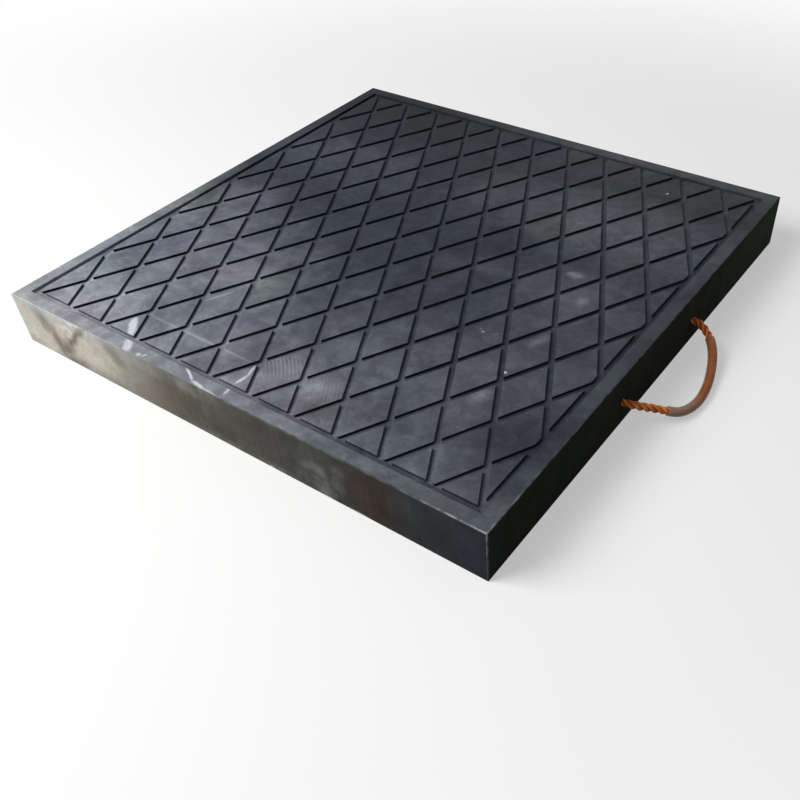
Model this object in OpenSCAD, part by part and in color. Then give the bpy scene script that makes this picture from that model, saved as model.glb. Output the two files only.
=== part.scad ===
// Crane outrigger pad: a square polyethylene plate with a milled diamond tread and a rope handle.
// The origin is the centre of the underside. +Z is up, and +X points to the side face with the handle.

/* [Plate] */
// Length of the plate along X, up to the side face with the handle
plate_l = 1000; // [700:10:1500]
// Width of the plate along Y
plate_w = 1000; // [700:10:1500]
// Thickness of the plate
plate_t = 100; // [80:1:150]

/* [Tread] */
// Width of the flat rim between the edge of the plate and the border groove
rim_w = 25; // [10:1:60]
// Width of every groove, which is the diameter of the milling cutter
groove_w = 10; // [4:0.5:16]
// Depth of every groove
groove_d = 5; // [1:0.5:10]
// Distance between neighbouring grooves of a family, square to them
groove_pitch = 75; // [40:1:120]
// Angle between a groove and the X axis, in degrees
groove_angle = 62; // [40:1:75]

/* [Rope handle] */
// Diameter of the twisted rope
rope_d = 12; // [8:0.5:16]
// Distance between the axes of the two rope holes
handle_span = 250; // [200:5:400]
// Height of the rope holes above the underside
hole_z = 45; // [35:1:55]
// Length of a rope hole, from the side face to its knot pocket
hole_l = 60; // [30:1:120]
// Gap between the rope and its hole, on each side
hole_clearance = 0.5; // [0.2:0.1:0.9]

/* [Grip sleeve] */
// Wall thickness of the hose on the rope
sleeve_wall = 1.5; // [1:0.1:3]
// Gap between the rope and the hose, on each side
sleeve_clearance = 0.5; // [0.2:0.1:0.9]
// Height of the hose above the ground where the loop lies lowest
sleeve_lay = 0.5; // [0:0.1:3]

/* [Knots and pockets] */
// Diameter of a stopper knot
knot_d = 36; // [28:1:44]
// Length of a stopper knot along its rope
knot_l = 42; // [30:1:60]
// Diameter of the flat end of a knot that bears on the pocket wall
knot_seat_d = 24; // [18:1:28]
// Gap between a knot and the sides and roof of its pocket
pocket_clearance = 7; // [3:1:12]
// Room behind a knot for the tail of the rope
tail_room = 18; // [8:1:30]
// Corner radius of a pocket
pocket_r = 10; // [5:1:14]

/* [Hidden] */
// Round faces
$fn = 64;
// Length by which a cutting shape passes the face that it opens on
overcut = 1;

// Middle lines of the border groove
border_x = plate_l / 2 - rim_w - groove_w / 2;
border_y = plate_w / 2 - rim_w - groove_w / 2;
// Number of parallel grooves on each side of the one that starts in a corner of the border
grooves_below = floor(2 * border_y * cos(groove_angle) / groove_pitch);
grooves_above = floor(2 * border_x * sin(groove_angle) / groove_pitch);
// Length that crosses the whole tread at any angle
groove_reach = norm([plate_l, plate_w]);

hole_d = rope_d + 2 * hole_clearance;
sleeve_bore = rope_d + 2 * sleeve_clearance;
sleeve_d = sleeve_bore + 2 * sleeve_wall;

// Wall of the knot pockets that the rope holes open in
seat_x = plate_l / 2 - hole_l;
pocket_l = knot_l + tail_room;
pocket_w = knot_d + 2 * pocket_clearance;
pocket_roof = hole_z + knot_d / 2 + pocket_clearance;

// The loop of the rope, from each hole to the middle. A point is [distance out from the side face,
// distance in from the axis of the hole, share of the height from the lowest lay up to the hole].
front_arm = [
    [12, 2, 0.97], [24, 10, 0.86], [40, 25, 0.64], [58, 41, 0.4],
    [71, 55, 0.22], [79, 75, 0.08], [83, 98, 0.01], [83, 122, 0]
];
rear_arm = [
    [12, 0, 0.97], [24, 4, 0.87], [38, 12, 0.68], [52, 28, 0.46],
    [63, 49, 0.28], [72, 74, 0.13], [79, 100, 0.04]
];
// Number of points of each arm that the hose leaves bare
front_bare = 3;
rear_bare = 2;
// Height of the middle line of the loop where it lies lowest
lay_z = sleeve_d / 2 + sleeve_lay;

front_y = -handle_span / 2;
rear_y = handle_span / 2;

function arm_point(p, hole_y) = [
    plate_l / 2 + p[0],
    hole_y - sign(hole_y) * p[1],
    lay_z + (hole_z - lay_z) * p[2]
];
// Points of the rope inside one hole, from its knot to the side face
function hole_points(hole_y) = [
    [seat_x, hole_y, hole_z],
    [seat_x + hole_l / 2, hole_y, hole_z],
    [plate_l / 2, hole_y, hole_z]
];
function reversed(list) = [for (i = [len(list) - 1:-1:0]) list[i]];
// The whole route of the rope, from the front knot to the rear one
route = concat(
    hole_points(front_y),
    [for (p = front_arm) arm_point(p, front_y)],
    [for (p = reversed(rear_arm)) arm_point(p, rear_y)],
    reversed(hole_points(rear_y))
);
// Points of the route where the hose starts and ends
sleeve_first = len(hole_points(front_y)) + front_bare;
sleeve_last = len(route) - len(hole_points(rear_y)) - rear_bare - 1;

// Number of sides of the rope and the hose
rope_sides = 12;
// Direction that is never along the rope, from which its rings are turned
loop_normal = [0.4, 0, 0.9];

function unit(v) = v / norm(v);
// One ring of points around point i of the route, square to it
function ring(i, r) =
    let (
        along = unit(route[min(i + 1, len(route) - 1)] - route[max(i - 1, 0)]),
        side = unit(cross(loop_normal, along)),
        up = cross(along, side)
    )
    [for (k = [0:rope_sides - 1]) let (a = 360 * k / rope_sides)
        route[i] + r * (cos(a) * side + sin(a) * up)];
// Faces of the wall between ring a and ring b of a list of rings
function wall(a, b) = [
    for (k = [0:rope_sides - 1]) let (n = (k + 1) % rope_sides)
        each [
            [a * rope_sides + k, b * rope_sides + n, a * rope_sides + n],
            [a * rope_sides + k, b * rope_sides + k, b * rope_sides + n]
        ]
];

// Frame-shaped groove that runs round the tread
module border_groove() {
    difference() {
        square([2 * border_x + groove_w, 2 * border_y + groove_w], center = true);
        square([2 * border_x - groove_w, 2 * border_y - groove_w], center = true);
    }
}

// Parallel grooves, the first of which starts in the +X, +Y corner of the border groove
module groove_family() {
    for (n = [-grooves_below:grooves_above])
        translate([border_x, border_y]) rotate(groove_angle)
            translate([0, n * groove_pitch]) square([2 * groove_reach, groove_w], center = true);
}

module tread_grooves() {
    translate([0, 0, plate_t - groove_d]) linear_extrude(groove_d + overcut) {
        border_groove();
        intersection() {
            square([2 * border_x, 2 * border_y], center = true);
            union() {
                groove_family();
                mirror([0, 1]) groove_family();
            }
        }
    }
}

module rounded_rectangle(l, w, r) {
    square([l - 2 * r, w], center = true);
    square([l, w - 2 * r], center = true);
    for (x = [-1, 1], y = [-1, 1])
        translate([x * (l / 2 - r), y * (w / 2 - r)]) circle(r);
}

// Rope hole and the pocket behind it
module rope_anchor(y) {
    translate([seat_x - overcut, y, hole_z]) rotate([0, 90, 0])
        cylinder(d = hole_d, h = hole_l + 2 * overcut);
    translate([seat_x - pocket_l / 2, y, -overcut]) linear_extrude(pocket_roof + overcut)
        rounded_rectangle(pocket_l, pocket_w, pocket_r);
}

module pad_body() {
    color([0.17, 0.18, 0.2]) difference() {
        translate([-plate_l / 2, -plate_w / 2, 0]) cube([plate_l, plate_w, plate_t]);
        tread_grooves();
        rope_anchor(front_y);
        rope_anchor(rear_y);
    }
}

module rope_handle() {
    last = len(route) - 1;
    color([0.68, 0.3, 0.12]) polyhedron(
        points = [for (i = [0:last]) each ring(i, rope_d / 2)],
        faces = concat(
            [[for (k = [0:rope_sides - 1]) k]],
            [for (i = [0:last - 1]) each wall(i, i + 1)],
            [[for (k = [rope_sides - 1:-1:0]) last * rope_sides + k]]
        )
    );
}

// The outer rings run from the front end to the rear end, and the inner rings run back again,
// so the same wall closes the outside, both ends and the bore.
module grip_sleeve() {
    rings = concat(
        [for (i = [sleeve_first:sleeve_last]) ring(i, sleeve_d / 2)],
        [for (i = [sleeve_last:-1:sleeve_first]) ring(i, sleeve_bore / 2)]
    );
    color([0.62, 0.5, 0.44]) polyhedron(
        points = [for (r = rings) each r],
        faces = [for (j = [0:len(rings) - 1]) each wall(j, (j + 1) % len(rings))]
    );
}

// Outer form of a knot, with a flat end on the pocket wall
module stopper_knot(y) {
    knot_taper = knot_l / 4;
    color([0.6, 0.27, 0.11]) translate([seat_x, y, hole_z]) rotate([0, -90, 0]) rotate_extrude()
        polygon([
            [0, 0], [knot_seat_d / 2, 0], [knot_d / 2, knot_taper],
            [knot_d / 2, knot_l - knot_taper], [knot_seat_d / 2, knot_l], [0, knot_l]
        ]);
}

module rope_knot_front() {
    stopper_knot(front_y);
}

module rope_knot_rear() {
    stopper_knot(rear_y);
}

pad_body();
rope_handle();
grip_sleeve();
rope_knot_front();
rope_knot_rear();
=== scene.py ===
import math

import bmesh
import bpy
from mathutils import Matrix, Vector


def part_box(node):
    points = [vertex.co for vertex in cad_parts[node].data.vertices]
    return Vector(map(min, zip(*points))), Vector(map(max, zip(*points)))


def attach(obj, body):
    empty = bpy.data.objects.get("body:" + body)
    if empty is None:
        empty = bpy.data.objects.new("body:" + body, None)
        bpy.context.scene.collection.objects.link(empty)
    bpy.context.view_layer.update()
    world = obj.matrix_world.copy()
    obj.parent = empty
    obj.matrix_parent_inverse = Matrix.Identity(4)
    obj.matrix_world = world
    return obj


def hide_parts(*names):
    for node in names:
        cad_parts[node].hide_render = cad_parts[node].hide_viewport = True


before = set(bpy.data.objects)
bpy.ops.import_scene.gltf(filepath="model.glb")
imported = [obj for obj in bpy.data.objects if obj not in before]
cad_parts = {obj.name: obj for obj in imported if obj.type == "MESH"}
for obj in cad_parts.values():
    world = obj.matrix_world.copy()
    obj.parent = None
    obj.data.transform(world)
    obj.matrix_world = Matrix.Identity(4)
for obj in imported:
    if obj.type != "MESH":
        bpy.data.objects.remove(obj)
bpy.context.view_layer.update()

# Plate and tread, in metres, as in the part's source.
MM = 0.001
PLATE_LOW, PLATE_HIGH = (Vector(corner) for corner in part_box("pad_body"))
TOP = PLATE_HIGH.z
FRONT = PLATE_LOW.y
RIM_W = 25 * MM
GROOVE_W = 10 * MM
GROOVE_D = 5 * MM
GROOVE_PITCH = 75 * MM
GROOVE_ANGLE = math.radians(62)
GROOVE_FLOOR = TOP - GROOVE_D
# Half sides of the square tread: out to the rim, to the middle of the border groove, and in to the lands.
TREAD_HALF = PLATE_HIGH.x - RIM_W
BORDER_MID = TREAD_HALF - GROOVE_W / 2
LANDS_HALF = TREAD_HALF - GROOVE_W

# Rope handle, its holes, hose, stopper knots and their pockets, as in the part's source.
ROPE_D = 12 * MM
HOLE_D = 13 * MM
HOLE_Y = 125 * MM
HOLE_Z = 45 * MM
HOLE_L = 60 * MM
HOSE_D = 16 * MM
HOSE_BORE = 13 * MM
LAY_Z = 8.5 * MM
KNOT_D = 36 * MM
KNOT_L = 42 * MM
POCKET_L = 60 * MM
POCKET_W = 50 * MM
POCKET_ROOF = 70 * MM
SEAT_X = PLATE_HIGH.x - HOLE_L
# The loop from each hole to the middle: millimetres out from the side face, millimetres in from the axis of
# the hole, and the share of the height from the lowest lay up to the hole.
FRONT_ARM = [
    (12, 2, 0.97), (24, 10, 0.86), (40, 25, 0.64), (58, 41, 0.4),
    (71, 55, 0.22), (79, 75, 0.08), (83, 98, 0.01), (83, 122, 0),
]
REAR_ARM = [
    (12, 0, 0.97), (24, 4, 0.87), (38, 12, 0.68), (52, 28, 0.46),
    (63, 49, 0.28), (72, 74, 0.13), (79, 100, 0.04),
]
# Points of the whole route where the hose starts and ends.
HOSE_FIRST = 6
HOSE_LAST = 15

# Radius and number of steps of rounded edges: on the block, on the lands, at the mouths of the rope holes and
# in the corners of the pockets.
EDGE_ROUND = (2 * MM, 3)
LAND_ROUND = (0.6 * MM, 2)
MOUTH_ROUND = (1 * MM, 2)
POCKET_ROUND = (10 * MM, 6)
HOLE_SIDES = 40
# Length by which a drill passes each end of its hole.
DRILL_SPARE = 2 * MM
SMOOTH_ANGLE = math.radians(50)

# Strands of the rope, and the least distance of its surface from its axis, between two strands.
ROPE_STRANDS = 3
ROPE_LAY = 40 * MM
STRAND_SIDES = 12
HOLLOW_R = 0.3 * ROPE_D
# Power that keeps the darkening deep between the strands, partly dirt and partly painted shade.
HOLLOW_FALL = 1.5
# Share by which the lay opens where the rope lies bare, and the power that makes it open soon.
LOOSENED = 0.16
LOOSENED_RISE = 0.6
# Melted end of a rope: the length that it tapers over, and the share of the section that is left at the tip.
MELT_L = 0.4 * ROPE_D
MELT_TIP = 0.25
HOSE_SIDES = 32
HOSE_LIP = 0.4 * MM
# Spacing of the rings of each mesh.
ROPE_STEP = 1.5 * MM
KNOT_STEP = 2 * MM
HOSE_STEP = 3 * MM
# The hose follows each sixth point of the rope's line, and the declared path is each fourth.
HOSE_EVERY = 6
# Steps between two given points when a curve is drawn through them.
FINE_STEPS = 24

# A stopper knot, as stretches of its rope: along the core, out to the wraps, back over the core in wraps, and
# in under them. A stretch is a number of steps and, at its end, the distance behind the seat, the share of
# the radius of the wraps and the turn in degrees.
KNOT_BACK = KNOT_L - ROPE_D / 2
KNOT_FORE = ROPE_D / 2 + 2 * MM
KNOT_STRETCHES = [
    (3, KNOT_BACK - ROPE_D, 0, 0),
    (6, KNOT_BACK, 1, 180),
    (33, KNOT_FORE, 1, 1020),
    (4, KNOT_FORE + 4 * MM, 0.5, 1120),
]
# Gap between the wraps and the outer form of the knot.
KNOT_SPARE = 0.4 * MM
# The short end of the rope behind a knot: millimetres behind the seat, aside and up.
KNOT_TAIL = [(30, 0, 0), (38, 1, -1), (46, 2, -3), (54, 3, -6)]

# Distance within which points count as level, and allowance for rounded edges when faces get a finish.
CLOSE = 0.01 * MM
SPARE = 1 * MM
# Least share of a normal along an axis, on a face that is turned that way and on one that is quite flat.
FACING = 0.9
FLAT = 0.99
# Most that a groove wall may look up, least product of the X and Y shares of a normal on a diagonal wall, and
# least angle of a sharp edge in radians.
STEEP = 0.3
DIAGONAL = 0.1
SHARP = 0.7

# Camera: place in metres, turn in degrees, sensor and lens in millimetres, and shift of the picture.
CAMERA_PLACE = (0.92739, -1.10243, 0.97249)
CAMERA_TURN = (45.1582, 1.9342, 34.7346)
CAMERA_SENSOR = 36
CAMERA_LENS = 40.409
CAMERA_SHIFT = (-0.08763, 0.07156)
# Key light: a square lamp, with its side in metres and its power in watts.
KEY_PLACE = Vector((-1.5, -2.0, 2.6))
KEY_TARGET = Vector((0, 0, 0.05))
KEY_SIZE = 2.2
KEY_POWER = 130
# Strength of the sky as a light. To the eye it is white.
SKY_LIGHT = 0.2
FLOOR_SIZE = 30

# Marks on the plate: place, turn in degrees about the normal, half length, half width and strength.
TOP_SCUFFS = [
    # smear across a land and the rim
    ((-0.24, -0.448), -49, 0.036, 0.009, 1),
    ((-0.208, -0.486), -50, 0.024, 0.01, 0.85),
    # scratch that bends along the edge of the rim
    ((-0.066, -0.483), -28, 0.024, 0.0032, 0.9),
    ((-0.036, -0.4945), -8, 0.02, 0.0045, 0.9),
    ((-0.008, -0.4965), -2, 0.03, 0.0025, 0.6),
    # wavy scratch from a land over the border groove to the edge
    ((0.01, -0.427), -70, 0.02, 0.003, 0.8),
    ((0.012, -0.45), -95, 0.016, 0.0035, 0.9),
    ((0.013, -0.478), -84, 0.014, 0.0035, 0.7),
    # spots on the rim and specks on the lands
    ((-0.174, -0.493), 20, 0.006, 0.005, 0.7),
    ((-0.163, -0.49), 60, 0.006, 0.004, 0.5),
    ((0.343, -0.219), 0, 0.0045, 0.004, 0.75),
    ((0.258, -0.1525), 0, 0.0036, 0.0032, 0.34),
    ((0.252, -0.149), 0, 0.003, 0.003, 0.12),
    ((0.278, -0.1465), 32, 0.01, 0.003, 0.07),
    ((0.389, 0.008), 0, 0.005, 0.004, 0.6),
    ((0.312, 0.4), 0, 0.003, 0.003, 0.9),
]
TOP_LINES = [
    # straight scribed line and a short arc on the lands near the front edge
    ((-0.12, -0.4105), 0, 0.15, 0.0036, 0.22),
    ((-0.18, -0.309), 64, 0.032, 0.005, 0.24),
]
TOP_FEED = [
    # lands where the cutter marks still show
    ((0.045, -0.39), 10, 0.064, 0.036, 0.32),
    ((0.135, -0.4), 10, 0.06, 0.036, 0.16),
]
TOP_SMUDGES = [
    # rubbed spots of a hand's breadth and less
    ((0.302, 0.0635), 8, 0.021, 0.0165, 0.46),
    ((0.304, -0.0405), 0, 0.02, 0.012, 0.15),
    ((0.352, -0.001), 78, 0.027, 0.02, 0.36),
    ((0.36, 0.022), 20, 0.018, 0.012, 0.14),
    ((0.347, -0.13), 75, 0.044, 0.018, 0.3),
    ((0.342, -0.286), 70, 0.034, 0.022, 0.35),
    ((0.126, -0.405), 10, 0.06, 0.034, 0.18),
    # broad hazes
    ((0.3, -0.22), 20, 0.28, 0.15, 0.15),
    ((0.28, 0.22), 0, 0.36, 0.16, 0.16),
    ((0.36, -0.02), 0, 0.22, 0.2, 0.13),
    ((0.16, 0), 20, 0.12, 0.06, 0.08),
    ((-0.3, 0.19), 0, 0.26, 0.12, 0.07),
    ((-0.36, -0.12), 0, 0.26, 0.14, 0.16),
    ((-0.15, -0.25), 0, 0.11, 0.09, 0.22),
    ((0.25, 0.49), 0, 0.55, 0.035, 0.08),
    ((-0.488, -0.24), 90, 0.26, 0.032, 0.3),
]
TOP_DARKENED = [
    # broad places painted darker; at the rear -X corner this is painted shade, for less sheen there
    ((-0.34, 0.45), 0, 0.42, 0.22, 1),
    ((0.05, 0.07), 0, 0.22, 0.1, 0.25),
    ((0.44, -0.44), 40, 0.16, 0.1, 0.3),
]
FRONT_STAINS_AND_SHADE = [
    # two dark runs that join in the dust and end in a grey foot along the lower edge, partly painted shade
    ((-0.423, 0.07), -46, 0.042, 0.026, 0.78),
    ((-0.4, 0.034), -80, 0.064, 0.021, 0.86),
    ((-0.34, 0.068), 42, 0.076, 0.0115, 1),
    ((-0.38, 0.028), 48, 0.04, 0.026, 0.9),
    # grey band along the lower edge and into its -X corner, partly painted shade where the face meets the
    # floor
    ((-0.362, 0.002), 0, 0.07, 0.027, 0.85),
    ((-0.262, 0), 0, 0.13, 0.03, 0.7),
    ((-0.478, 0.002), 0, 0.045, 0.024, 0.32),
    # olive runs further on, and a dull stretch below them
    ((-0.232, 0.072), -42, 0.052, 0.025, 0.65),
    ((-0.104, 0.058), -35, 0.06, 0.03, 0.35),
    ((-0.18, 0.01), 0, 0.11, 0.075, 0.5),
]
FRONT_CRUST = [
    # crumbs of dry clay between the two runs
    ((-0.352, 0.083), 40, 0.046, 0.022, 0.7),
    ((-0.318, 0.095), 10, 0.03, 0.012, 0.9),
]
FRONT_SCUFFS = [
    # dust along the upper edge past the clay
    ((-0.1, 0.098), 0, 0.15, 0.03, 0.2),
    # rubbed patch, and chips and a rubbed line at the lower edge
    ((0.203, 0.028), 10, 0.056, 0.042, 0.19),
    ((0.238, 0.066), 30, 0.046, 0.018, 0.12),
    ((0.102, 0.002), 0, 0.008, 0.006, 0.9),
    ((-0.321, 0.01), 60, 0.007, 0.004, 0.9),
    ((0.23, 0.001), 0, 0.11, 0.003, 0.45),
    ((0.06, 0.001), 0, 0.24, 0.014, 0.12),
]
# Half depth of a mark square to its face, and the size of the wavers in its outline.
MARK_DEPTH = 4 * MM
WAVER_SIZE = 20 * MM

# Brightness of groove floors against the lands: in the front and rear border grooves, in one family of
# grooves whose floors carry dust and painted light, and in the others. A slope is the change per metre.
FRONT_FLOOR = 0.66
FRONT_FLOOR_SLOPE = -0.6
REAR_FLOOR = 0.9
DUST_AND_LIGHT_FLOOR = 0.85
DUST_AND_LIGHT_FLOOR_SLOPE = 0.6
DUST_AND_LIGHT_FLOOR_MOST = 1.3
# Brightness of such a floor in its middle, and the change towards the side with a painted wall shadow.
PAINTED_SHADOW_MIDDLE = 1.12
PAINTED_SHADOW_SIDE = -0.18
PLAIN_FLOOR = 0.8
# Brightness of groove walls: at the lands along the front border groove, on the outer side of the rear border
# groove and of the one on the -X side, on diagonal walls painted lighter as painted light, and on the others.
FRONT_WALL = 0.33
FRONT_WALL_SLOPE = -0.1
REAR_WALL = 0.99
SIDE_WALL = 0.8
SIDE_WALL_SLOPE = -0.9
LIT_WALL = 2.8
PLAIN_WALL = 1


def arm_point(point, hole_y):
    """A point of one arm of the loop, in the part's frame."""
    out, inward, height = point
    return Vector((
        PLATE_HIGH.x + out * MM,
        hole_y - math.copysign(inward * MM, hole_y),
        LAY_Z + (HOLE_Z - LAY_Z) * height,
    ))


def hole_points(hole_y):
    """The rope inside one hole, from its knot to the side face."""
    return [Vector((SEAT_X + HOLE_L * share, hole_y, HOLE_Z)) for share in (0, 0.5, 1)]


ROUTE = (
    hole_points(-HOLE_Y)
    + [arm_point(point, -HOLE_Y) for point in FRONT_ARM]
    + [arm_point(point, HOLE_Y) for point in reversed(REAR_ARM)]
    + list(reversed(hole_points(HOLE_Y)))
)


def groove_family(mirror):
    """Parallel grooves, each as a point on its middle line and the direction across it. One of them starts in
    a corner of the border groove."""
    start = Vector((BORDER_MID, mirror * BORDER_MID, TOP))
    across = Vector((-math.sin(GROOVE_ANGLE), mirror * math.cos(GROOVE_ANGLE), 0))
    below = math.floor(2 * BORDER_MID * math.cos(GROOVE_ANGLE) / GROOVE_PITCH)
    above = math.floor(2 * BORDER_MID * math.sin(GROOVE_ANGLE) / GROOVE_PITCH)
    return [(start + across * number * GROOVE_PITCH, across) for number in range(-below, above + 1)]


GROOVES = groove_family(1) + groove_family(-1)


# Helpers for objects and meshes.
def deselect():
    bpy.ops.object.select_all(action="DESELECT")


def select_only(piece):
    """Selects one piece alone and makes it the active object."""
    deselect()
    piece.select_set(True)
    bpy.context.view_layer.objects.active = piece


def edit(piece):
    """Opens one piece alone in edit mode."""
    select_only(piece)
    bpy.ops.object.mode_set(mode="EDIT")


def close_edit():
    bpy.ops.object.mode_set(mode="OBJECT")


def pick(piece, kind, test):
    """In edit mode, selects only the faces or edges that pass the test."""
    bpy.ops.mesh.select_mode(type=kind)
    bpy.ops.mesh.select_all(action="DESELECT")
    shape = bmesh.from_edit_mesh(piece.data)
    for item in shape.faces if kind == "FACE" else shape.edges:
        item.select_set(test(item))
    bmesh.update_edit_mesh(piece.data)


def round_edges(piece, test, rounding):
    """In edit mode, rounds the edges that pass the test."""
    radius, steps = rounding
    pick(piece, "EDGE", test)
    bpy.ops.mesh.bevel(offset=radius, segments=steps, affect="EDGES")


def apply_modifier(piece, kind, **settings):
    """Adds a modifier and applies it."""
    select_only(piece)
    modifier = piece.modifiers.new(kind.lower(), kind)
    for name, value in settings.items():
        setattr(modifier, name, value)
    bpy.ops.object.modifier_apply(modifier=modifier.name)


def new_piece(name, shape, material):
    """Turns a bmesh into an object at the origin with one material."""
    mesh = bpy.data.meshes.new(name)
    bmesh.ops.recalc_face_normals(shape, faces=shape.faces[:])
    shape.to_mesh(mesh)
    shape.free()
    piece = bpy.data.objects.new(name, mesh)
    bpy.context.collection.objects.link(piece)
    mesh.materials.append(material)
    return piece


# Helpers for materials.
def srgb(code):
    """An sRGB hex colour as linear red, green, blue and full cover."""
    shares = [int(code[start:start + 2], 16) / 255 for start in (1, 3, 5)]
    linear = [c / 12.92 if c <= 0.04045 else ((c + 0.055) / 1.055) ** 2.4 for c in shares]
    return (*linear, 1)


def add(tree, kind, sockets=None, stops=(), out=0, **settings):
    """Adds a node with its settings and colour stops, fills or links its sockets, and returns one output, or
    all for None. The two outer stops come first. Sockets go by name or number: 0, 6 and 7 of a Mix node are
    its share and two colours, and 0 to 4 of a Map Range node are its value and its two ranges."""
    node = tree.nodes.new(kind)
    for name, value in settings.items():
        setattr(node, name, value)
    for name, value in (sockets or {}).items():
        if isinstance(value, bpy.types.NodeSocket):
            tree.links.new(value, node.inputs[name])
        else:
            node.inputs[name].default_value = value
    for number, (position, colour) in enumerate(stops):
        ramp = node.color_ramp.elements
        stop = ramp[number] if number < 2 else ramp.new(position)
        stop.position = position
        stop.color = srgb(colour)
    return node.outputs if out is None else node.outputs[out]


def new_material(name, finish):
    """A material with a finish, which is a function that adds nodes and returns the surface."""
    material = bpy.data.materials.new(name)
    material.use_nodes = True
    tree = material.node_tree
    tree.nodes.clear()
    add(tree, "ShaderNodeOutputMaterial", {"Surface": finish(tree)}, out=None)
    return material


def soft_spot(tree, place, centre, radii, rotation=(0, 0, 0)):
    """1 in the middle of a long spot, falling to 0 at its outline."""
    local = add(tree, "ShaderNodeMapping", {
        "Vector": place, "Location": centre, "Rotation": rotation, "Scale": radii,
    }, vector_type="TEXTURE")
    return add(tree, "ShaderNodeTexGradient", {0: local}, out=1, gradient_type="SPHERICAL")


def marks(tree, place, spots, face, core=0.5, swing=8 * MM):
    """Cover of a list of marks on the top or the front face. A mark is a long spot whose outline wavers by up
    to half the swing. A higher core gives a softer outline."""
    waver = add(tree, "ShaderNodeTexNoise", {
        "Vector": place, "Scale": 1 / WAVER_SIZE, "Detail": 2,
    }, out="Color")
    waver = add(tree, "ShaderNodeVectorMath", {0: waver, 1: (-0.5, -0.5, -0.5)}, operation="ADD")
    swings = (swing, swing, 0) if face == "top" else (swing, 0, swing)
    waver = add(tree, "ShaderNodeVectorMath", {0: waver, 1: swings, 2: place}, operation="MULTIPLY_ADD")
    cover = 0.0
    for (one, two), turn, length, width, strength in spots:
        if face == "top":
            centre = (one, two, TOP)
            rotation = (0, 0, math.radians(turn))
            radii = (length, width, MARK_DEPTH)
        else:
            centre = (one, FRONT, two)
            rotation = (0, -math.radians(turn), 0)
            radii = (length, MARK_DEPTH, width)
        mark = soft_spot(tree, waver, centre, radii, rotation)
        mark = add(tree, "ShaderNodeMapRange", {0: mark, 1: 0, 2: core, 3: 0, 4: strength})
        cover = add(tree, "ShaderNodeMath", {0: mark, 1: cover}, operation="MAXIMUM")
    return cover


def noises(tree):
    """Object place, clouds of handling dirt about 140 mm across, and grain about 3 mm across, coarser than
    real, so that it shows."""
    place = add(tree, "ShaderNodeTexCoord", out="Object")
    clouds = add(tree, "ShaderNodeTexNoise", {
        "Vector": place, "Scale": 1 / (140 * MM), "Detail": 5, "Roughness": 0.6,
    })
    grain = add(tree, "ShaderNodeTexNoise", {
        "Vector": place, "Scale": 1 / (3 * MM), "Detail": 3, "Roughness": 0.6,
    })
    return place, clouds, grain


def polyethylene(tree, colour, height, roughness, gloss):
    """Ends a finish of the plate: waxy plastic with a fine relief and hardly any gloss."""
    bump = add(tree, "ShaderNodeBump", {"Height": height, "Strength": 0.35, "Distance": 0.4 * MM})
    return add(tree, "ShaderNodeBsdfPrincipled", {
        "Base Color": colour, "Roughness": roughness, "IOR": 1.51, "Specular IOR Level": gloss,
        "Normal": bump,
    })


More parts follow.
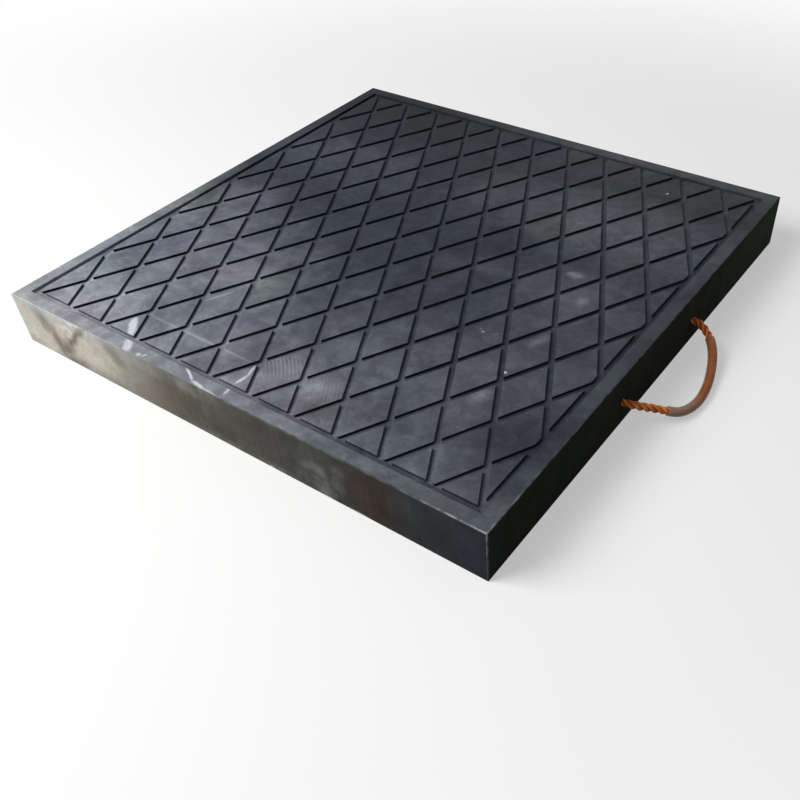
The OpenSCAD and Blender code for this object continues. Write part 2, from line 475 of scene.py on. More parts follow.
def planed_top(tree):
    """Black UHMW polyethylene with a planed top: matt and waxy, greyed by fine dust that is thickest towards
    one corner and patchy everywhere, with pale scuffs where things were dragged over it and arcs of the
    cutter on two lands. Most grooves hold less dust and are darker; in one family of them the floors are
    painted lighter as painted light, with a painted shadow along one side."""
    place, clouds, grain = noises(tree)
    axes = add(tree, "ShaderNodeSeparateXYZ", {0: place}, out=None)

    # Film of dust that thickens towards the corner, with smudged places in it and places painted darker.
    towards = add(tree, "ShaderNodeVectorMath", {
        0: place, 1: (-0.35, -0.8, 0),
    }, out="Value", operation="DOT_PRODUCT")
    film = add(tree, "ShaderNodeMath", {0: clouds, 1: 0.22, 2: towards}, operation="MULTIPLY_ADD")
    film = add(tree, "ShaderNodeMapRange", {0: film, 1: -0.5, 2: 0.7})
    colour = add(tree, "ShaderNodeValToRGB", {0: film}, stops=[
        (0, "#383b3d"), (1, "#96999b"), (0.38, "#2d3139"), (0.6, "#343842"), (0.7, "#535860"),
        (0.8, "#6d707b"),
    ])
    # Places painted darker: at the rear -X corner, painted shade for the sheen that the top lacks there.
    darkened = marks(tree, place, TOP_DARKENED, "top", core=1)
    colour = add(tree, "ShaderNodeMix", {0: darkened, 6: colour, 7: srgb("#17191b")}, out=2, data_type="RGBA")
    smudges = marks(tree, place, TOP_SMUDGES, "top", core=1, swing=16 * MM)
    colour = add(tree, "ShaderNodeMix", {0: smudges, 6: colour, 7: srgb("#a9adb4")}, out=2, data_type="RGBA")

    # Patches about 70 mm across, flecks about 18 mm across, and slow drifts of hue.
    patches = add(tree, "ShaderNodeTexNoise", {
        "Vector": place, "Scale": 1 / (70 * MM), "Detail": 6, "Roughness": 0.62, "Distortion": 0.7,
    })
    patches = add(tree, "ShaderNodeMapRange", {0: patches, 1: 0.3, 2: 0.7, 3: 0.62, 4: 1.3})
    flecks = add(tree, "ShaderNodeTexNoise", {
        "Vector": place, "Scale": 1 / (18 * MM), "Detail": 4, "Roughness": 0.6, "Distortion": 0.4,
    })
    flecks = add(tree, "ShaderNodeMapRange", {0: flecks, 1: 0.45, 2: 0.75, 3: 0, 4: 0.45})
    patches = add(tree, "ShaderNodeMath", {0: patches, 1: flecks}, operation="ADD")
    colour = add(tree, "ShaderNodeVectorMath", {0: colour, "Scale": patches}, operation="SCALE")
    drift = add(tree, "ShaderNodeTexNoise", {
        "Vector": place, "Scale": 1 / (160 * MM), "Detail": 2,
    }, out="Color")
    drift = add(tree, "ShaderNodeVectorMath", {
        0: drift, 1: (0.3, 0.3, 0.3), 2: (0.85, 0.85, 0.85),
    }, operation="MULTIPLY_ADD")
    colour = add(tree, "ShaderNodeVectorMath", {0: colour, 1: drift}, operation="MULTIPLY")

    # Feed marks of the planing cutter: arcs round a point outside the front edge, drawn 6 mm apart, coarser
    # than real, so that they show. They are only left on two lands near that edge.
    arc = add(tree, "ShaderNodeVectorMath", {
        0: place, 1: (-0.13, -0.57, TOP),
    }, out="Value", operation="DISTANCE")
    arc = add(tree, "ShaderNodeMath", {0: arc, 1: 2 * math.pi / (6 * MM)}, operation="MULTIPLY")
    feed = add(tree, "ShaderNodeMath", {0: arc}, operation="SINE")
    left = marks(tree, place, TOP_FEED, "top", core=0.7)
    feed = add(tree, "ShaderNodeMath", {0: feed, 1: left}, operation="MULTIPLY")
    feed = add(tree, "ShaderNodeMath", {0: feed, 1: 0}, operation="MAXIMUM")
    colour = add(tree, "ShaderNodeMix", {0: feed, 6: colour, 7: srgb("#a9adb4")}, out=2, data_type="RGBA")

    # Pale scuffs, broken up by the grain.
    broken = add(tree, "ShaderNodeMapRange", {0: grain, 1: 0.3, 2: 0.6, 3: 0.65, 4: 1})
    scuffs = marks(tree, place, TOP_SCUFFS, "top")
    lines = marks(tree, place, TOP_LINES, "top", swing=1 * MM)
    scuffs = add(tree, "ShaderNodeMath", {0: scuffs, 1: lines}, operation="MAXIMUM")
    scuffs = add(tree, "ShaderNodeMath", {0: scuffs, 1: broken}, operation="MULTIPLY")
    colour = add(tree, "ShaderNodeMix", {0: scuffs, 6: colour, 7: srgb("#d6d9de")}, out=2, data_type="RGBA")

    # Clay that creeps over the front edge next to the dusty corner.
    ragged = add(tree, "ShaderNodeTexNoise", {
        "Vector": place, "Scale": 1 / (25 * MM), "Detail": 4, "Roughness": 0.65,
    })
    creep = add(tree, "ShaderNodeMath", {0: axes["Y"], 1: -FRONT}, operation="ADD")
    creep = add(tree, "ShaderNodeMath", {0: ragged, 1: -50 * MM, 2: creep}, operation="MULTIPLY_ADD")
    creep = add(tree, "ShaderNodeMapRange", {0: creep, 1: -28 * MM, 2: -16 * MM, 3: 0.5, 4: 0})
    stretch = add(tree, "ShaderNodeMapRange", {0: axes["X"], 1: -0.45, 2: -0.12, 3: 1, 4: 0})
    creep = add(tree, "ShaderNodeMath", {0: creep, 1: stretch}, operation="MULTIPLY")
    colour = add(tree, "ShaderNodeMix", {0: creep, 6: colour, 7: srgb("#b1b4b0")}, out=2, data_type="RGBA")

    shade = add(tree, "ShaderNodeAttribute", out="Fac", attribute_name="groove_shade")
    colour = add(tree, "ShaderNodeVectorMath", {0: colour, "Scale": shade}, operation="SCALE")
    height = add(tree, "ShaderNodeMath", {0: feed, 1: 0.2, 2: grain}, operation="MULTIPLY_ADD")
    return polyethylene(tree, colour, height, roughness=0.62, gloss=0.1)


def sawn_sides(tree):
    """The same plastic with sawn sides: dead matt, with upright saw streaks, dried clay round one corner,
    greyer along the upper edge, with crumbs and dark runs in it, and dark edges that are rubbed pale at the
    front end of the handle side."""
    place, clouds, grain = noises(tree)
    axes = add(tree, "ShaderNodeSeparateXYZ", {0: place}, out=None)

    # Distance along the sides from the dusty corner, in metres, and the colour of the sides along it.
    along = add(tree, "ShaderNodeMath", {0: axes["X"], 1: axes["Y"]}, operation="ADD")
    along = add(tree, "ShaderNodeMath", {0: along, 1: 1}, operation="ADD")
    side = add(tree, "ShaderNodeMath", {0: clouds, 1: 0.08, 2: along}, operation="MULTIPLY_ADD")
    side = add(tree, "ShaderNodeMapRange", {0: side, 1: 0.04, 2: 2.04})
    # Towards the far +X, +Y corner the sides are painted lighter, as painted light.
    colour = add(tree, "ShaderNodeValToRGB", {0: side}, stops=[
        (0.11, "#938e83"), (0.97, "#4a5146"), (0.19, "#767167"), (0.28, "#64615b"), (0.36, "#535450"),
        (0.40, "#4c423e"), (0.44, "#404345"), (0.49, "#373b42"), (0.53, "#363a33"), (0.84, "#373b34"),
    ])

    # Faint saw streaks about 8 mm apart that run up the sides, and ragged patches about 50 mm across.
    streaks = add(tree, "ShaderNodeCombineXYZ", {0: along, 2: axes["Z"]})
    streaks = add(tree, "ShaderNodeMapping", {"Vector": streaks, "Scale": (1 / (8 * MM), 1, 1 / (120 * MM))})
    streaks = add(tree, "ShaderNodeTexNoise", {"Vector": streaks, "Scale": 1, "Detail": 3})
    shade = add(tree, "ShaderNodeMapRange", {0: streaks, 1: 0.3, 2: 0.7, 3: 0.05, 4: 0.22})
    colour = add(tree, "ShaderNodeMix", {0: shade, 6: colour, 7: srgb("#17181a")}, out=2, data_type="RGBA")
    ragged = add(tree, "ShaderNodeTexNoise", {
        "Vector": place, "Scale": 1 / (50 * MM), "Detail": 5, "Roughness": 0.62, "Distortion": 0.4,
    })
    patches = add(tree, "ShaderNodeMapRange", {0: ragged, 1: 0.3, 2: 0.7, 3: 0.8, 4: 1.25})
    colour = add(tree, "ShaderNodeVectorMath", {0: colour, "Scale": patches}, operation="SCALE")

    # Clay next to the dusty corner, with bare runs through it, and a bare foot along the lower edge that is
    # partly painted shade.
    clay = add(tree, "ShaderNodeMath", {0: ragged, 1: 0.14, 2: along}, operation="MULTIPLY_ADD")
    clay = add(tree, "ShaderNodeMapRange", {
        0: clay, 1: 0.24, 2: 0.49, 3: 1, 4: 0,
    }, interpolation_type="SMOOTHSTEP")
    stains_and_shade = marks(tree, place, FRONT_STAINS_AND_SHADE, "front", core=0.75, swing=18 * MM)
    bare = add(tree, "ShaderNodeMath", {0: 1, 1: stains_and_shade}, operation="SUBTRACT")
    clay = add(tree, "ShaderNodeMath", {0: clay, 1: bare}, operation="MULTIPLY")

    # Colour of the clay: warm and cool clouds, a greyer strip along the upper edge, clods about 11 mm across
    # and pale crumbs.
    mud = add(tree, "ShaderNodeValToRGB", {0: clouds}, stops=[(0.4, "#dcdccd"), (0.6, "#dccec2")])
    upper = add(tree, "ShaderNodeMath", {0: ragged, 1: 40 * MM, 2: axes["Z"]}, operation="MULTIPLY_ADD")
    upper = add(tree, "ShaderNodeMapRange", {0: upper, 1: 95 * MM, 2: 113 * MM})
    mud = add(tree, "ShaderNodeMix", {0: upper, 6: mud, 7: srgb("#d1d5d1")}, out=2, data_type="RGBA")
    clods = add(tree, "ShaderNodeTexNoise", {
        "Vector": place, "Scale": 1 / (11 * MM), "Detail": 4, "Roughness": 0.65, "Distortion": 0.8,
    })
    light = add(tree, "ShaderNodeMapRange", {0: clods, 1: 0.3, 2: 0.7, 3: 0.84, 4: 1.12})
    mud = add(tree, "ShaderNodeVectorMath", {0: mud, "Scale": light}, operation="SCALE")
    crumbs = add(tree, "ShaderNodeMapRange", {0: clods, 1: 0.44, 2: 0.56, 3: 0, 4: 0.85})
    crust = marks(tree, place, FRONT_CRUST, "front")
    crust = add(tree, "ShaderNodeMath", {0: crust, 1: crumbs}, operation="MULTIPLY")
    mud = add(tree, "ShaderNodeMix", {0: crust, 6: mud, 7: srgb("#f8f4e8")}, out=2, data_type="RGBA")
    colour = add(tree, "ShaderNodeMix", {0: clay, 6: colour, 7: mud}, out=2, data_type="RGBA")

    # Pale scuffs, broken up by the ragged patches.
    scuffs = marks(tree, place, FRONT_SCUFFS, "front")
    broken = add(tree, "ShaderNodeMapRange", {0: ragged, 1: 0.4, 2: 0.62, 3: 0.25, 4: 1.4})
    scuffs = add(tree, "ShaderNodeMath", {0: scuffs, 1: broken}, operation="MULTIPLY")
    colour = add(tree, "ShaderNodeMix", {0: scuffs, 6: colour, 7: srgb("#c9c9c0")}, out=2, data_type="RGBA")

    # Rounded edges: darker where no clay covers them, and rubbed pale, in nicks about 14 mm long, most of all
    # near one corner.
    edges = add(tree, "ShaderNodeAttribute", out="Fac", attribute_name="edge_wear")
    uncovered = add(tree, "ShaderNodeMapRange", {0: clay, 3: 1, 4: 0.4})
    dim = add(tree, "ShaderNodeMath", {0: edges, 1: uncovered}, operation="MULTIPLY")
    dim = add(tree, "ShaderNodeMapRange", {0: dim, 3: 1, 4: 0.58})
    colour = add(tree, "ShaderNodeVectorMath", {0: colour, "Scale": dim}, operation="SCALE")
    near = soft_spot(tree, place, (PLATE_HIGH.x, FRONT, TOP), (150 * MM, 150 * MM, 120 * MM))
    near = add(tree, "ShaderNodeMath", {0: near, 1: 1.25, 2: 0.28}, operation="MULTIPLY_ADD")
    nicks = add(tree, "ShaderNodeTexNoise", {"Vector": place, "Scale": 1 / (14 * MM), "Detail": 3})
    nicks = add(tree, "ShaderNodeMapRange", {0: nicks, 1: 0.35, 2: 0.7, 3: 0.25, 4: 1})
    rubbed = add(tree, "ShaderNodeMath", {0: near, 1: nicks}, operation="MULTIPLY")
    rubbed = add(tree, "ShaderNodeMath", {0: edges, 1: rubbed}, operation="MULTIPLY")
    colour = add(tree, "ShaderNodeMix", {0: rubbed, 6: colour, 7: srgb("#96999a")}, out=2, data_type="RGBA")

    height = add(tree, "ShaderNodeMath", {0: streaks, 1: 0.5, 2: grain}, operation="MULTIPLY_ADD")
    lumps = add(tree, "ShaderNodeMath", {0: clods, 1: clay}, operation="MULTIPLY")
    height = add(tree, "ShaderNodeMath", {0: lumps, 1: 5, 2: height}, operation="MULTIPLY_ADD")
    return polyethylene(tree, colour, height, roughness=0.9, gloss=0.01)


def milled_cuts(tree):
    """The same plastic where the cutter left it clean: pockets, holes, the underside and the groove walls
    without dust, black with a fine grain. Diagonal groove walls are painted lighter here, as painted light."""
    place, clouds, grain = noises(tree)
    tone = add(tree, "ShaderNodeMath", {0: grain, 1: 0.5, 2: clouds}, operation="MULTIPLY_ADD")
    colour = add(tree, "ShaderNodeValToRGB", {0: tone}, stops=[(0.5, "#1a1c25"), (1, "#2e323d")])
    shade = add(tree, "ShaderNodeAttribute", out="Fac", attribute_name="groove_shade")
    colour = add(tree, "ShaderNodeVectorMath", {0: colour, "Scale": shade}, operation="SCALE")
    return polyethylene(tree, colour, grain, roughness=0.7, gloss=0.05)


def rope_fibre(tree):
    """Twisted polypropylene rope, orange and weathered: fine yarns run along the rope, and it is darker
    between the strands, partly from dirt and partly as painted shade."""
    # The rope's own map counts lays of 40 mm along it and turns round it, so the yarns are about 7 mm long
    # and 1 mm wide.
    weave = add(tree, "ShaderNodeUVMap", uv_map="rope")
    weave = add(tree, "ShaderNodeMapping", {"Vector": weave, "Scale": (6, 40, 1)})
    yarns = add(tree, "ShaderNodeTexNoise", {"Vector": weave, "Scale": 1, "Detail": 3, "Roughness": 0.6})
    place = add(tree, "ShaderNodeTexCoord", out="Object")
    patches = add(tree, "ShaderNodeTexNoise", {"Vector": place, "Scale": 1 / (25 * MM), "Detail": 3})
    hollow = add(tree, "ShaderNodeAttribute", out="Fac", attribute_name="hollow")
    tone = add(tree, "ShaderNodeMath", {0: yarns, 1: 0.6, 2: patches}, operation="MULTIPLY_ADD")
    # Darker between the strands: partly dirt, partly painted shade.
    tone = add(tree, "ShaderNodeMath", {0: hollow, 1: -0.5, 2: tone}, operation="MULTIPLY_ADD")
    colour = add(tree, "ShaderNodeValToRGB", {0: tone}, stops=[
        (0, "#64270a"), (1, "#fbb67c"), (0.42, "#cf6126"), (0.72, "#f0883f"),
    ])
    bump = add(tree, "ShaderNodeBump", {"Height": yarns, "Strength": 0.8, "Distance": 0.6 * MM})
    return add(tree, "ShaderNodeBsdfPrincipled", {
        "Base Color": colour, "Roughness": 0.7, "IOR": 1.49, "Specular IOR Level": 0.2, "Normal": bump,
    })


def hose_pvc(tree):
    """Clear PVC hose, clouded and dusty: the rope shows through it, and it is greyest at its front end."""
    place = add(tree, "ShaderNodeTexCoord", out="Object")
    haze = add(tree, "ShaderNodeTexNoise", {"Vector": place, "Scale": 1 / (30 * MM), "Detail": 4})
    colour = add(tree, "ShaderNodeValToRGB", {0: haze}, stops=[(0.3, "#b06434"), (0.7, "#b17650")])
    grey = soft_spot(tree, place, ROUTE[HOSE_FIRST], (80 * MM, 80 * MM, 80 * MM))
    grey = add(tree, "ShaderNodeMapRange", {0: grey, 1: 0, 2: 0.6, 3: 0, 4: 0.85})
    colour = add(tree, "ShaderNodeMix", {0: grey, 6: colour, 7: srgb("#b99a86")}, out=2, data_type="RGBA")
    cover = add(tree, "ShaderNodeMapRange", {0: haze, 1: 0.3, 2: 0.7, 3: 0.55, 4: 0.75})
    return add(tree, "ShaderNodeBsdfPrincipled", {
        "Base Color": colour, "Roughness": 0.35, "IOR": 1.53, "Specular IOR Level": 0.18, "Alpha": cover,
    })


def seen_share(tree):
    """1 for what the eye sees, straight, mirrored or through something clear, and 0 for other light."""
    rays = add(tree, "ShaderNodeLightPath", out=None)
    seen = add(tree, "ShaderNodeMath", {
        0: rays["Is Camera Ray"], 1: rays["Is Glossy Ray"],
    }, operation="MAXIMUM")
    return add(tree, "ShaderNodeMath", {0: seen, 1: rays["Is Transmission Ray"]}, operation="MAXIMUM")


def studio_floor(tree):
    """Plain pale floor: white to the eye, with soft shadows near the pad and a clean white further out, and
    darker to the light that it throws back at the pad."""
    matt = add(tree, "ShaderNodeBsdfDiffuse", {"Color": srgb("#c6c6c5")})
    glow = add(tree, "ShaderNodeEmission", {"Color": srgb("#ffffff"), "Strength": 0.42})
    pale = add(tree, "ShaderNodeAddShader", {0: matt, 1: glow})
    place = add(tree, "ShaderNodeTexCoord", out="Object")
    away = add(tree, "ShaderNodeVectorMath", {0: place}, out="Value", operation="LENGTH")
    away = add(tree, "ShaderNodeMapRange", {0: away, 1: 0.8, 2: 2.2}, interpolation_type="SMOOTHSTEP")
    white = add(tree, "ShaderNodeEmission", {"Color": srgb("#ffffff"), "Strength": 1})
    pale = add(tree, "ShaderNodeMixShader", {0: away, 1: pale, 2: white})
    dim = add(tree, "ShaderNodeBsdfDiffuse", {"Color": srgb("#7d7d7b")})
    return add(tree, "ShaderNodeMixShader", {0: seen_share(tree), 1: dim, 2: pale})


# Shapes of the rope, the hose and the knots.
def distances(points):
    """Distance along a line to each of its points."""
    travels = [0]
    for one, two in zip(points, points[1:]):
        travels.append(travels[-1] + (two - one).length)
    return travels


def smooth_line(points, step):
    """Evenly spaced points on one smooth curve through the given points."""
    before = points[0] * 2 - points[1]
    beyond = points[-1] * 2 - points[-2]
    guides = [before] + list(points) + [beyond]
    fine = []
    for a, b, c, d in zip(guides, guides[1:], guides[2:], guides[3:]):
        for part in range(FINE_STEPS):
            t = part / FINE_STEPS
            fine.append(0.5 * (
                2 * b + (c - a) * t + (2 * a - 5 * b + 4 * c - d) * t ** 2 + (3 * b - a - 3 * c + d) * t ** 3
            ))
    fine.append(points[-1])
    travels = distances(fine)
    count = round(travels[-1] / step)
    even = []
    number = 0
    for part in range(count + 1):
        goal = travels[-1] * part / count
        while number < len(fine) - 2 and travels[number + 1] < goal:
            number += 1
        share = (goal - travels[number]) / (travels[number + 1] - travels[number])
        even.append(fine[number].lerp(fine[number + 1], share))
    return even


def nearest(line, spot):
    """Number of the point of a line that is nearest to a spot."""
    return min(range(len(line)), key=lambda number: (line[number] - spot).length)


def cross_frames(points):
    """Two directions square to a line at each of its points, turned as little as possible. The first of them
    starts as near to upright as it can. No line here starts upright itself."""
    side = Vector((0, 0, 1))
    frames = []
    for number in range(len(points)):
        ahead = points[min(number + 1, len(points) - 1)]
        behind = points[max(number - 1, 0)]
        along = (ahead - behind).normalized()
        side = (side - along * side.dot(along)).normalized()
        frames.append((side, along.cross(side)))
    return frames


def wall(shape, one, two):
    """Adds smooth faces between two rings of points of a mesh, and returns them in order."""
    faces = []
    for corner in range(len(one)):
        after = (corner + 1) % len(one)
        face = shape.faces.new((one[corner], one[after], two[after], two[corner]))
        face.smooth = True
        faces.append(face)
    return faces


def strand_radius(angle):
    """Distance from the rope's axis to the outside of a strand, at an angle from the strand's crown."""
    strand = ROPE_D / 2 / (1 + 2 / math.sqrt(3))
    offset = ROPE_D / 2 - strand
    square = strand ** 2 - (offset * math.sin(angle)) ** 2
    return max(offset * math.cos(angle) + math.sqrt(max(square, 0)), HOLLOW_R)


def loosened_lay(spans):
    """Thickness of a rope whose lay opens along some spans."""
    def thickness(travel):
        for first, last in spans:
            share = (travel - first) / (last - first)
            if 0 < share < 1:
                return 1 + LOOSENED * math.sin(math.pi * share) ** LOOSENED_RISE
        return 1
    return thickness


def melted_end(length):
    """Thickness of a rope of some length whose far end is melted to a blunt tip."""
    def thickness(travel):
        return math.sqrt(min(1, MELT_TIP + max(length - travel, 0) / MELT_L))
    return thickness


def lay_rope(shape, points, thickness=lambda travel: 1):
    """Adds a laid rope of three strands along a line to a mesh, closed at both ends. The thickness gives the
    share of its radius at a distance along it. Its map counts lays along the rope and turns round it."""
    weave = shape.loops.layers.uv.get("rope") or shape.loops.layers.uv.new("rope")
    hollow = shape.verts.layers.float.get("hollow") or shape.verts.layers.float.new("hollow")
    sides = STRAND_SIDES * ROPE_STRANDS
    span = 2 * math.pi / ROPE_STRANDS
    travels = distances(points)
    rings = []
    for point, (side, over), travel in zip(points, cross_frames(points), travels):
        twist = 2 * math.pi * travel / ROPE_LAY
        ring = []
        for corner in range(sides):
            angle = 2 * math.pi * corner / sides
            radius = strand_radius(angle % span - span / 2)
            turned = angle + twist
            outward = side * math.cos(turned) + over * math.sin(turned)
            vert = shape.verts.new(point + outward * (radius * thickness(travel)))
            depth = (ROPE_D / 2 - radius) / (ROPE_D / 2 - HOLLOW_R)
            vert[hollow] = max(0, depth) ** HOLLOW_FALL
            ring.append(vert)
        rings.append(ring)
    for number in range(len(rings) - 1):
        for corner, face in enumerate(wall(shape, rings[number], rings[number + 1])):
            for loop, (row, column) in zip(face.loops, ((0, 0), (0, 1), (1, 1), (1, 0))):
                lays = travels[number + row] / ROPE_LAY
                loop[weave].uv = (lays, (corner + column) / sides + lays)
    shape.faces.new(list(reversed(rings[0])))
    shape.faces.new(rings[-1])


def draw_hose(shape, points):
    """Adds the hose along a line to a mesh, as one closed wall: out along its outside, over the lip of the
    far end, back through its bore and over the lip of the near end."""
    outer = HOSE_D / 2
    bore = HOSE_BORE / 2
    last = len(points) - 1
    # Each ring is the number of its point, its radius, and its push past the end of the line.
    rows = (
        [(0, outer - HOSE_LIP, -HOSE_LIP)]
        + [(number, outer, 0) for number in range(last + 1)]
        + [(last, outer - HOSE_LIP, HOSE_LIP), (last, bore + HOSE_LIP, HOSE_LIP)]
        + [(number, bore, 0) for number in reversed(range(last + 1))]
        + [(0, bore + HOSE_LIP, -HOSE_LIP)]
    )
    frames = cross_frames(points)
    rings = []
    for number, radius, push in rows:
        side, over = frames[number]
        centre = points[number] + side.cross(over) * push
        ring = []
        for corner in range(HOSE_SIDES):
            angle = 2 * math.pi * corner / HOSE_SIDES
            ring.append(shape.verts.new(centre + (side * math.cos(angle) + over * math.sin(angle)) * radius))
        rings.append(ring)
    for one, two in zip(rings, rings[1:] + rings[:1]):
        wall(shape, one, two)


def knot_line(hole_y):
    """Middle line of a stopper knot: along the core, back over it in close turns, and in under them."""
    wrap = (KNOT_D - ROPE_D) / 2 - KNOT_SPARE
    spots = [(0, 0, 0)]
    for steps, *end in KNOT_STRETCHES:
        start = spots[-1]
        for step in range(1, steps + 1):
            spots.append([one + (two - one) * step / steps for one, two in zip(start, end)])
    line = []
    for back, share, turn in spots:
        angle = math.radians(turn)
        line.append(Vector((
            SEAT_X - back,
            hole_y + wrap * share * math.cos(angle),
            HOLE_Z + wrap * share * math.sin(angle),
        )))
    return line


def tail_line(hole_y):
    """Middle line of the short end of the rope behind a knot, which droops a little."""
    line = []
    for back, aside, up in KNOT_TAIL:
        line.append(Vector((SEAT_X - back * MM, hole_y + aside * MM, HOLE_Z + up * MM)))
    return line


def stopper_knot(name, hole_y, material):
    """One knot with its tail."""
    shape = bmesh.new()
    lay_rope(shape, smooth_line(knot_line(hole_y), KNOT_STEP))
    tail = smooth_line(tail_line(hole_y), ROPE_STEP)
    lay_rope(shape, tail, melted_end(distances(tail)[-1]))
    return new_piece(name, shape, material)


# Tests that pick faces and edges while the plate is cut.
def reach(point):
    """Distance of a point from the middle of the plate, square to its sides."""
    return max(abs(point.x), abs(point.y))


def is_top(face):
    return face.normal.z > FACING and face.calc_center_median().z > TOP - CLOSE


def in_lands(face):
    """True for the part of the top that the border groove runs round."""
    return is_top(face) and reach(face.calc_center_median()) < LANDS_HALF


def in_groove(face):
    """True for the part of the top that the cutter takes away."""
    if not is_top(face):
        return False
    if not in_lands(face):
        return all(reach(vert.co) < TREAD_HALF + CLOSE for vert in face.verts)
    centre = face.calc_center_median()
    return any(abs((centre - spot).dot(across)) < GROOVE_W / 2 for spot, across in GROOVES)


def is_under(face):
    return face.normal.z < -FACING and face.calc_center_median().z < CLOSE


def in_pocket(point):
    """True for a point inside or on the outline of a knot pocket."""
    return (
        SEAT_X - POCKET_L - CLOSE < point.x < SEAT_X + CLOSE
        and abs(abs(point.y) - HOLE_Y) < POCKET_W / 2 + CLOSE
    )


def is_pocket_mouth(face):
    return is_under(face) and in_pocket(face.calc_center_median())


def is_pocket_corner(edge):
    one, two = (vert.co for vert in edge.verts)
    middle = (one + two) / 2
    is_upright = (one.xy - two.xy).length < CLOSE
    return is_upright and in_pocket(middle) and abs(middle.z - POCKET_ROOF / 2) < CLOSE


def outer_planes(edge):
    """Number of the block's outer faces that an edge lies in."""
    one, two = (vert.co for vert in edge.verts)
    planes = 0
    for axis in range(3):
        for level in (PLATE_LOW[axis], PLATE_HIGH[axis]):
            planes += abs(one[axis] - level) < CLOSE and abs(two[axis] - level) < CLOSE
    return planes


def is_sharp(edge):
    return len(edge.link_faces) == 2 and edge.calc_face_angle() > SHARP


def is_block_edge(edge):
    return is_sharp(edge) and outer_planes(edge) > 1


def is_land_edge(edge):
    """True for the upper edges of the grooves."""
    inside = all(reach(vert.co) < TREAD_HALF + CLOSE for vert in edge.verts)
    return is_sharp(edge) and inside and all(vert.co.z > TOP - CLOSE for vert in edge.verts)


def is_hole_mouth(edge):
    on_side = all(vert.co.x > PLATE_HIGH.x - CLOSE for vert in edge.verts)
    return is_sharp(edge) and on_side and outer_planes(edge) == 1


# Tests and shades for the faces of the finished plate.
PLANED, SAWN, MILLED = range(3)


def inside_rim(face):
    """True for a face of the tread, or of what lies under it."""
    return reach(face.center) < TREAD_HALF + SPARE


def in_tread(face):
    return inside_rim(face) and face.center.z > GROOVE_FLOOR - SPARE


def is_wall(face):
    return in_tread(face) and face.normal.z < STEEP


def is_floor(face):
    return in_tread(face) and face.center.z < GROOVE_FLOOR + SPARE


def is_rounding(face):
    """True for a face of a rounded edge outside the tread."""
    return not inside_rim(face) and max(abs(share) for share in face.normal) < FLAT


def floor_shade(face, spot):
    """Brightness of a groove's floor against the lands, at one spot. One family of grooves carries dust and
    painted light, lighter away from the middle of the plate, with a painted shadow along one side of the
    groove."""
    if face.center.y < -LANDS_HALF:
        return FRONT_FLOOR + FRONT_FLOOR_SLOPE * spot.x
    if face.center.y > LANDS_HALF:
        return REAR_FLOOR
    for point, across in GROOVES:
        if across.y < 0 and abs((face.center - point).dot(across)) < GROOVE_W / 2:
            # These floors carry dust and painted light, lighter away from the middle, and a painted shadow of
            # one wall.
            dust_and_light = min(DUST_AND_LIGHT_FLOOR_MOST, DUST_AND_LIGHT_FLOOR + DUST_AND_LIGHT_FLOOR_SLOPE * abs(spot.x + spot.y))
            side = (spot - point).dot(across) / (GROOVE_W / 2)
            return dust_and_light * (PAINTED_SHADOW_MIDDLE + PAINTED_SHADOW_SIDE * side)
    return PLAIN_FLOOR


def wall_shade(face, spot):
    """Brightness of a groove's wall, at one spot. Below 1 the wall is dusty and has the finish of the top."""
    if face.normal.y < -FACING:
        return FRONT_WALL + FRONT_WALL_SLOPE * spot.x if face.center.y < 0 else REAR_WALL
    if face.normal.x > FACING and face.center.x < 0:
        return SIDE_WALL + SIDE_WALL_SLOPE * spot.y
    # Diagonal walls facing +X+Y and -X-Y are painted lighter, as painted light.
    is_lit = face.normal.x * face.normal.y > DIAGONAL
    return LIT_WALL if is_lit else PLAIN_WALL


def groove_shade(face, spot):
    """Brightness of a face at one spot, which is 1 outside the grooves."""
    if is_floor(face):
        return floor_shade(face, spot)
    return wall_shade(face, spot) if is_wall(face) else 1


def finish_number(face):
    """Number of a face's finish. Lands, rim, groove floors and dusty groove walls have that of the top."""
    if is_wall(face):
        return PLANED if wall_shade(face, face.center) < 1 else MILLED
    if in_tread(face) or face.normal.z > FLAT:
        return PLANED
    return MILLED if inside_rim(face) else SAWN


# Camera, light and floor.
bpy.ops.object.camera_add(location=CAMERA_PLACE, rotation=[math.radians(angle) for angle in CAMERA_TURN])
camera = bpy.context.object
camera.data.sensor_width = CAMERA_SENSOR
camera.data.lens = CAMERA_LENS
camera.data.shift_x, camera.data.shift_y = CAMERA_SHIFT
bpy.context.scene.camera = camera

bpy.ops.object.light_add(type="AREA", location=KEY_PLACE)
key_light = bpy.context.object
key_light.name = "key_light"
key_light.rotation_euler = (KEY_TARGET - KEY_PLACE).to_track_quat("-Z", "Y").to_euler()
key_light.data.size = KEY_SIZE
key_light.data.energy = KEY_POWER

world = bpy.data.worlds.new("studio")
bpy.context.scene.world = world
world.use_nodes = True
sky_tree = world.node_tree
sky_tree.nodes.clear()
strength = add(sky_tree, "ShaderNodeMapRange", {0: seen_share(sky_tree), 3: SKY_LIGHT, 4: 1})
sky = add(sky_tree, "ShaderNodeBackground", {"Color": srgb("#ffffff"), "Strength": strength})
add(sky_tree, "ShaderNodeOutputWorld", {"Surface": sky}, out=None)
bpy.context.scene.view_settings.view_transform = "Standard"

bpy.ops.mesh.primitive_plane_add(size=FLOOR_SIZE)
floor = bpy.context.object
floor.name = "studio_floor"
floor.data.materials.append(new_material("studio_floor_white", studio_floor))

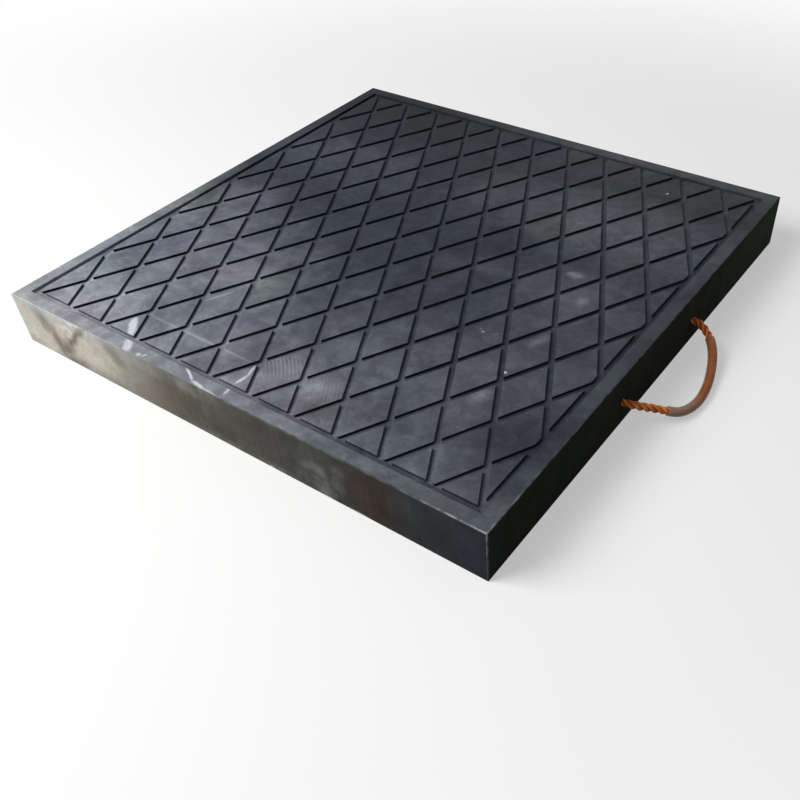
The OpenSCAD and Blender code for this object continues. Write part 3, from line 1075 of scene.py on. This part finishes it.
# Rope, hose and knots. The hose follows the rope between two points of its route.
rope_finish = new_material("polypropylene_rope_orange", rope_fibre)
rope_line = smooth_line(ROUTE, ROPE_STEP)
rope_travels = distances(rope_line)
hose_start = nearest(rope_line, ROUTE[HOSE_FIRST])
hose_end = nearest(rope_line, ROUTE[HOSE_LAST])
bare_spans = (
    (HOLE_L, rope_travels[hose_start]),
    (rope_travels[hose_end], rope_travels[-1] - HOLE_L),
)
rope_shape = bmesh.new()
lay_rope(rope_shape, rope_line, loosened_lay(bare_spans))
rope = new_piece("twisted_rope", rope_shape, rope_finish)

hose_shape = bmesh.new()
draw_hose(hose_shape, smooth_line(rope_line[hose_start:hose_end + 1:HOSE_EVERY], HOSE_STEP))
hose = new_piece("grip_hose", hose_shape, new_material("pvc_hose_clouded", hose_pvc))

knot_front = stopper_knot("stopper_knot_front", -HOLE_Y, rope_finish)
knot_rear = stopper_knot("stopper_knot_rear", HOLE_Y, rope_finish)

for piece, slot, node in (
    (rope, "rope", "rope_handle"),
    (hose, "hose", "grip_sleeve"),
    (knot_front, "rope", "rope_knot_front"),
    (knot_rear, "rope", "rope_knot_rear"),
):
    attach(piece, "root")
    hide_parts(node)

# Plate: a block whose top is inset, cut along the groove walls and sunk between them.
deselect()
bpy.ops.mesh.primitive_cube_add(size=1, location=(PLATE_LOW + PLATE_HIGH) / 2, scale=PLATE_HIGH - PLATE_LOW)
plate = bpy.context.object
plate.name = "tread_plate"
bpy.ops.object.transform_apply(location=True, rotation=True, scale=True)
plate.data.uv_layers.remove(plate.data.uv_layers[0])
edit(plate)
pick(plate, "FACE", is_top)
bpy.ops.mesh.inset(thickness=RIM_W)
bpy.ops.mesh.inset(thickness=GROOVE_W)
for spot, across in GROOVES:
    for half in (-GROOVE_W / 2, GROOVE_W / 2):
        pick(plate, "FACE", in_lands)
        bpy.ops.mesh.bisect(plane_co=spot + across * half, plane_no=across)
pick(plate, "FACE", in_groove)
bpy.ops.mesh.extrude_region_move(TRANSFORM_OT_translate={"value": (0, 0, -GROOVE_D)})

# Knot pockets, cut into the underside and rounded at their upright corners.
pocket_cuts = [((SEAT_X, 0, 0), (1, 0, 0)), ((SEAT_X - POCKET_L, 0, 0), (1, 0, 0))]
for hole_y in (-HOLE_Y, HOLE_Y):
    for half in (-POCKET_W / 2, POCKET_W / 2):
        pocket_cuts.append(((0, hole_y + half, 0), (0, 1, 0)))
for spot, across in pocket_cuts:
    pick(plate, "FACE", is_under)
    bpy.ops.mesh.bisect(plane_co=spot, plane_no=across)
pick(plate, "FACE", is_pocket_mouth)
bpy.ops.mesh.extrude_region_move(TRANSFORM_OT_translate={"value": (0, 0, POCKET_ROOF)})
round_edges(plate, is_pocket_corner, POCKET_ROUND)
round_edges(plate, is_block_edge, EDGE_ROUND)
round_edges(plate, is_land_edge, LAND_ROUND)
close_edit()

# Rope holes, drilled through to the pockets.
for hole_y in (-HOLE_Y, HOLE_Y):
    deselect()
    bpy.ops.mesh.primitive_cylinder_add(
        vertices=HOLE_SIDES, radius=HOLE_D / 2, depth=HOLE_L + 2 * DRILL_SPARE,
        location=(SEAT_X + HOLE_L / 2, hole_y, HOLE_Z), rotation=(0, math.pi / 2, 0),
    )
    drill = bpy.context.object
    apply_modifier(plate, "BOOLEAN", operation="DIFFERENCE", object=drill, solver="EXACT")
    bpy.data.objects.remove(drill, do_unlink=True)
edit(plate)
round_edges(plate, is_hole_mouth, MOUTH_ROUND)
bpy.ops.mesh.select_all(action="SELECT")
bpy.ops.mesh.normals_make_consistent(inside=False)
close_edit()
select_only(plate)
bpy.ops.object.shade_smooth_by_angle(angle=SMOOTH_ANGLE)
apply_modifier(plate, "WEIGHTED_NORMAL", keep_sharp=True)

# Finishes of the plate, in the order of their numbers, the wear of its edges and the shade of its grooves.
plate.data.materials.clear()
for name, finish in (
    ("uhmw_polyethylene_planed", planed_top),
    ("uhmw_polyethylene_sawn", sawn_sides),
    ("uhmw_polyethylene_milled", milled_cuts),
):
    plate.data.materials.append(new_material(name, finish))
wear = plate.data.attributes.new("edge_wear", "FLOAT", "FACE")
shade = plate.data.attributes.new("groove_shade", "FLOAT", "CORNER")
for face in plate.data.polygons:
    face.material_index = finish_number(face)
    wear.data[face.index].value = is_rounding(face)
    for corner in face.loop_indices:
        vert = plate.data.vertices[plate.data.loops[corner].vertex_index]
        shade.data[corner].value = groove_shade(face, vert.co)
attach(plate, "root")
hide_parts("pad_body")
